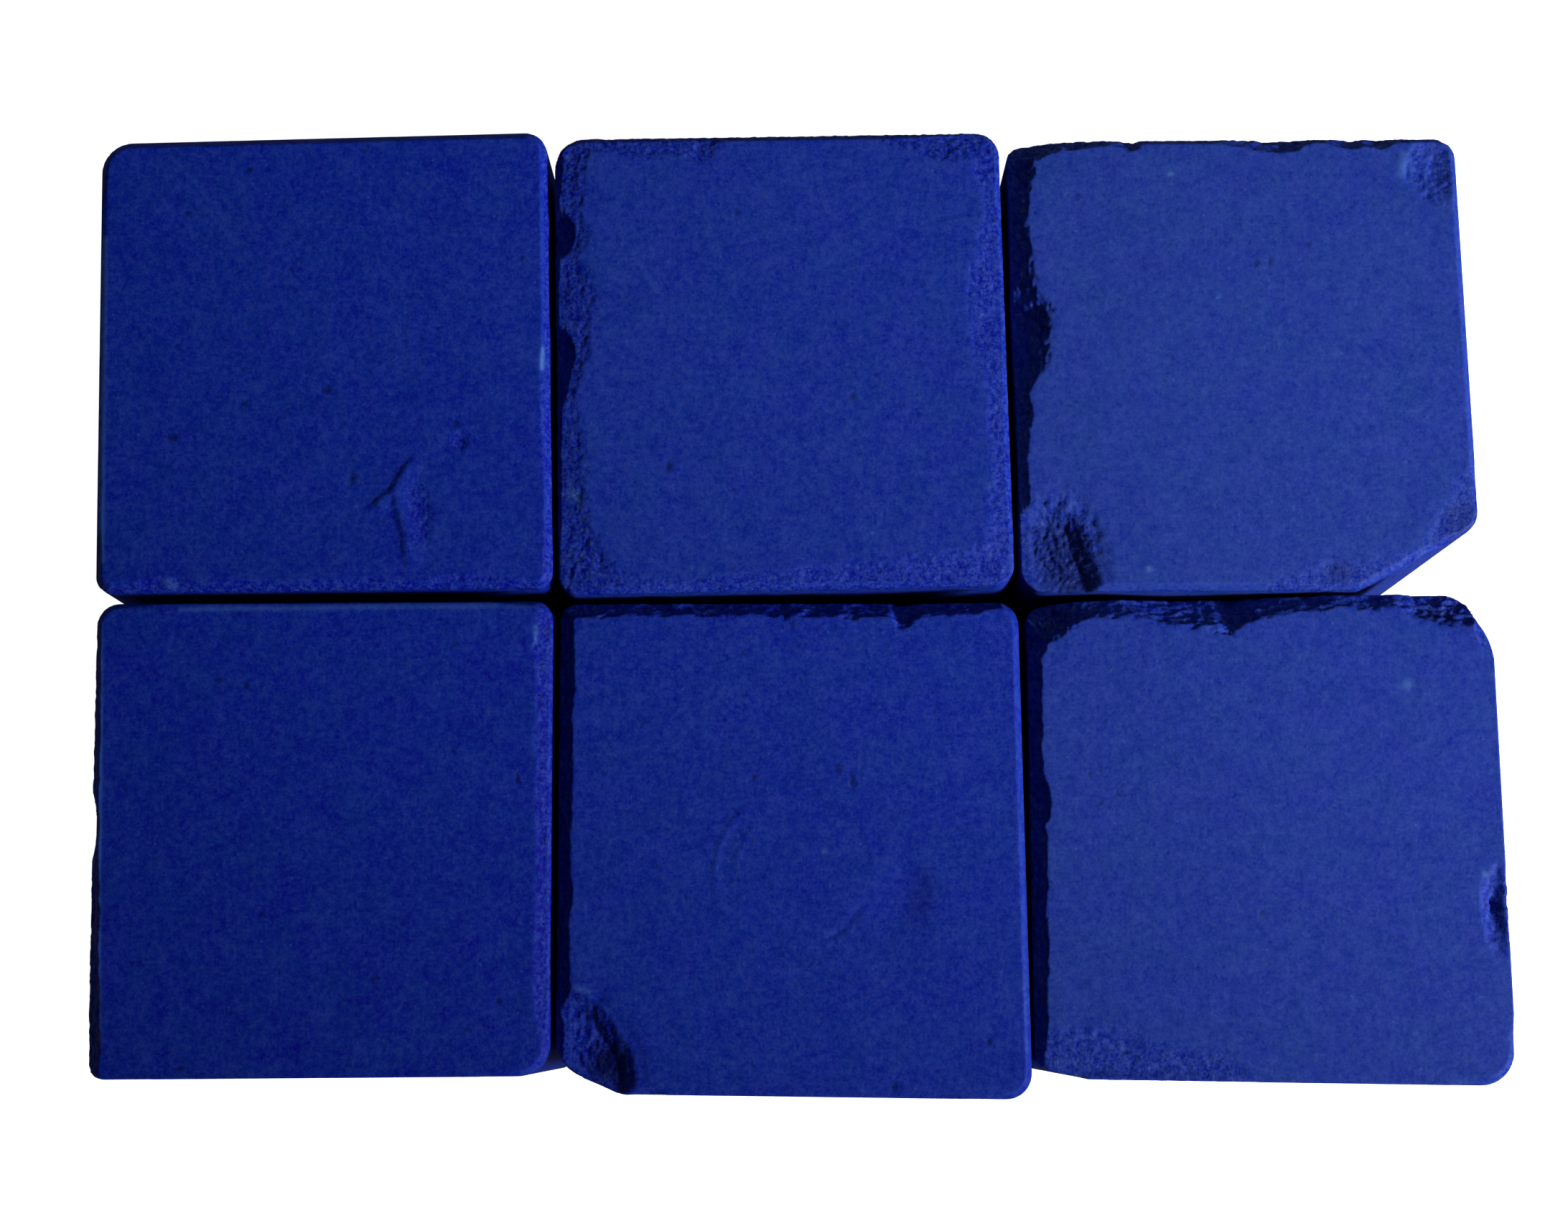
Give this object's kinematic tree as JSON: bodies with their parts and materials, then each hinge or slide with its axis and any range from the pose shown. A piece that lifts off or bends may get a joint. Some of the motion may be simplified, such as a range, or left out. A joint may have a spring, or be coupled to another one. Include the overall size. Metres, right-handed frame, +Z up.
{
  "type": "cue chalk cube set",
  "caption": "Bare pressed cubes of blue cue chalk, set out in two rows of three, with bevelled, worn and broken edges; each lifts out on its own.",
  "frame": {"origin": "on the surface the cubes stand on, under the middle of the whole set", "axes": "+X to the right along the rows of three, +Y from the front row to the back row, +Z up"},
  "size_m": [0.0672, 0.0469, 0.022],
  "materials": {
    "blue_chalk": "matte pressed powder, crumbly where the edges have broken"
  },
  "bodies": {
    "cube_back_left": {"cube_back_left": "blue_chalk"},
    "cube_back_centre": {"cube_back_centre": "blue_chalk"},
    "cube_back_right": {"cube_back_right": "blue_chalk"},
    "cube_front_left": {"cube_front_left": "blue_chalk"},
    "cube_front_centre": {"cube_front_centre": "blue_chalk"},
    "cube_front_right": {"cube_front_right": "blue_chalk"}
  },
  "joints": [
    {"name": "lift_back_left", "type": "slide", "parent": "cube_front_centre", "child": "cube_back_left", "axis": [0, 0, 1], "range_m": [0, 0.03]},
    {"name": "lift_back_centre", "type": "slide", "parent": "cube_front_centre", "child": "cube_back_centre", "axis": [0, 0, 1], "range_m": [0, 0.03]},
    {"name": "lift_back_right", "type": "slide", "parent": "cube_front_centre", "child": "cube_back_right", "axis": [0, 0, 1], "range_m": [0, 0.03]},
    {"name": "lift_front_left", "type": "slide", "parent": "cube_front_centre", "child": "cube_front_left", "axis": [0, 0, 1], "range_m": [0, 0.03]},
    {"name": "lift_front_right", "type": "slide", "parent": "cube_front_centre", "child": "cube_front_right", "axis": [0, 0, 1], "range_m": [0, 0.03]}
  ]
}
